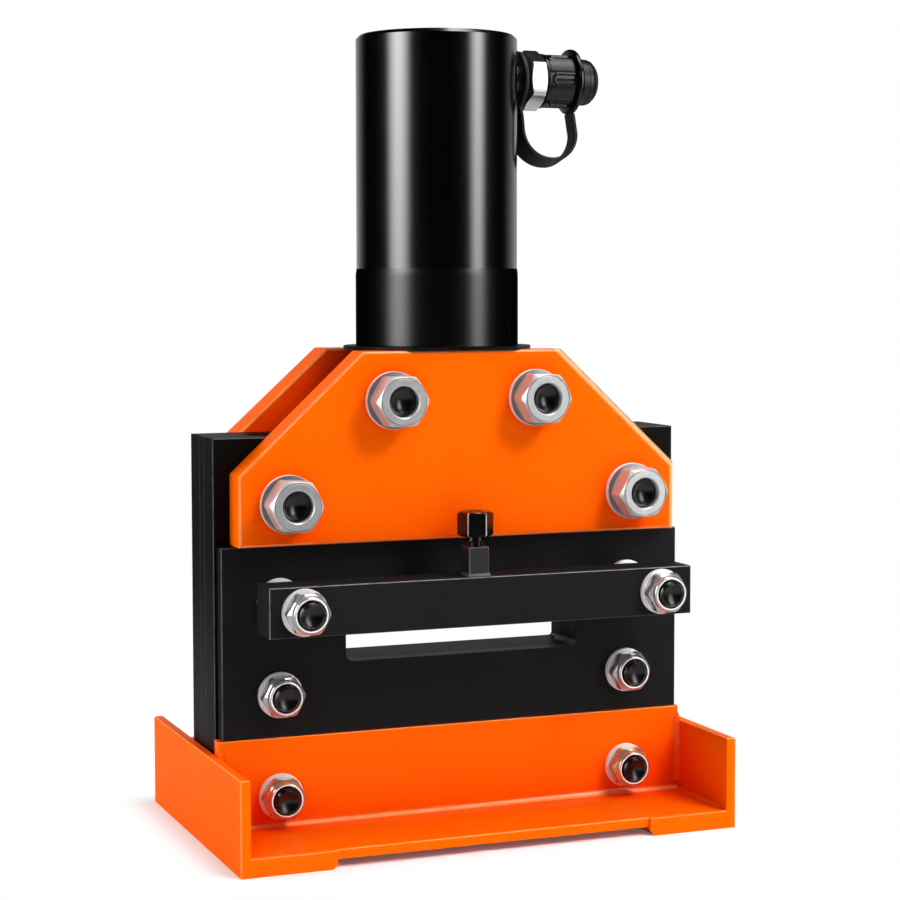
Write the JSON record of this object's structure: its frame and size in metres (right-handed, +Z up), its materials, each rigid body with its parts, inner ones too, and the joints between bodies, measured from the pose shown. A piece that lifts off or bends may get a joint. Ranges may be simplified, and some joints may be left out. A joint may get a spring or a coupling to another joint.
{
  "type": "hydraulic busbar cutter",
  "caption": "Bench-standing hydraulic busbar cutter: a black cylinder over painted clamp plates drives a blade through a slotted plate stack that stands in a painted steel tray.",
  "frame": {"origin": "on the ground under the middle of the plate stack and the cylinder's axis", "axes": "+Z up along the cylinder, -Y to the front with the nuts, +X to the oil coupler"},
  "size_m": [0.3224, 0.204, 0.4975],
  "materials": {
    "orange_paint": "gloss paint",
    "blackened_plate": "satin black oxide",
    "cylinder_black": "gloss black",
    "blackened_bolt": "black oxide",
    "zinc_nut": "bright zinc",
    "nickel": "bright nickel plate",
    "ground_steel": "ground",
    "spring_steel": "oiled",
    "bronze": "turned",
    "seal_rubber": "matt",
    "black_plastic": "moulded"
  },
  "bodies": {
    "frame": {"base_front_angle": "orange_paint", "base_rear_angle": "orange_paint", "base_end_plate_left": "orange_paint", "base_end_plate_right": "orange_paint", "base_foot_left": "orange_paint", "base_foot_right": "orange_paint", "front_guide_plate": "blackened_plate", "rear_guide_plate": "blackened_plate", "guide_spacer_left": "blackened_plate", "guide_spacer_right": "blackened_plate", "front_slot_plate": "blackened_plate", "clamp_plate_front": "orange_paint", "clamp_plate_rear": "orange_paint", "clamp_bolts": "blackened_bolt", "clamp_washers": "zinc_nut", "clamp_nuts": "zinc_nut", "base_bolts": "blackened_bolt", "frame_bolts": "blackened_bolt", "hold_bar_studs": "blackened_bolt", "frame_washers": "zinc_nut", "frame_nuts": "zinc_nut", "hold_bar_sleeves": "blackened_plate", "hold_bar": "blackened_plate", "hold_screw_boss": "blackened_plate", "cylinder_mount_block": "blackened_plate", "cylinder_collar": "cylinder_black", "rod_seal": "seal_rubber", "rod_wiper": "seal_rubber", "cylinder_barrel": "cylinder_black", "barrel_seal": "seal_rubber", "return_spring": "spring_steel", "coupler_adapter": "nickel", "coupler_sleeve": "nickel", "coupler_spring": "spring_steel", "dust_cap_strap": "black_plastic"},
    "ram": {"moving_blade": "ground_steel", "blade_pin": "ground_steel", "ram_rod": "ground_steel", "piston": "ground_steel", "piston_seal": "seal_rubber", "piston_wear_ring": "bronze"},
    "pressure_pad": {"pressure_pad": "blackened_bolt"},
    "hold_screw": {"hold_screw": "blackened_bolt"},
    "poppet": {"coupler_poppet": "bronze"},
    "dust_cap": {"dust_cap": "black_plastic", "strap_end_ring": "black_plastic"}
  },
  "joints": [
    {"name": "ram_slide", "type": "slide", "parent": "frame", "child": "ram", "axis": [0, 0, -1], "range_m": [0, 0.034], "stiffness_N_per_m": 18000, "springref_m": -0.015, "deforming": ["return_spring"]},
    {"name": "pad_slide", "type": "slide", "parent": "frame", "child": "pressure_pad", "axis": [0, 0, -1], "range_m": [0, 0.006]},
    {"name": "screw_turn", "type": "hinge", "parent": "pressure_pad", "child": "hold_screw", "pos_m": [-0.0034, -0.0725, 0.19], "axis": [0, 0, -1], "range_deg": [0, 1441]},
    {"name": "poppet_slide", "type": "slide", "parent": "frame", "child": "poppet", "axis": [-1, 0, 0], "range_m": [0, 0.004], "stiffness_N_per_m": 1500, "springref_m": -0.003, "deforming": ["coupler_spring"]},
    {"name": "cap_pull", "type": "slide", "parent": "frame", "child": "dust_cap", "axis": [1, 0, 0], "range_m": [0, 0.025], "deforming": ["dust_cap_strap"]}
  ],
  "couplings": [
    {"joint": "screw_turn", "follows": "pad_slide", "rad_per_m": 4188.8}
  ]
}
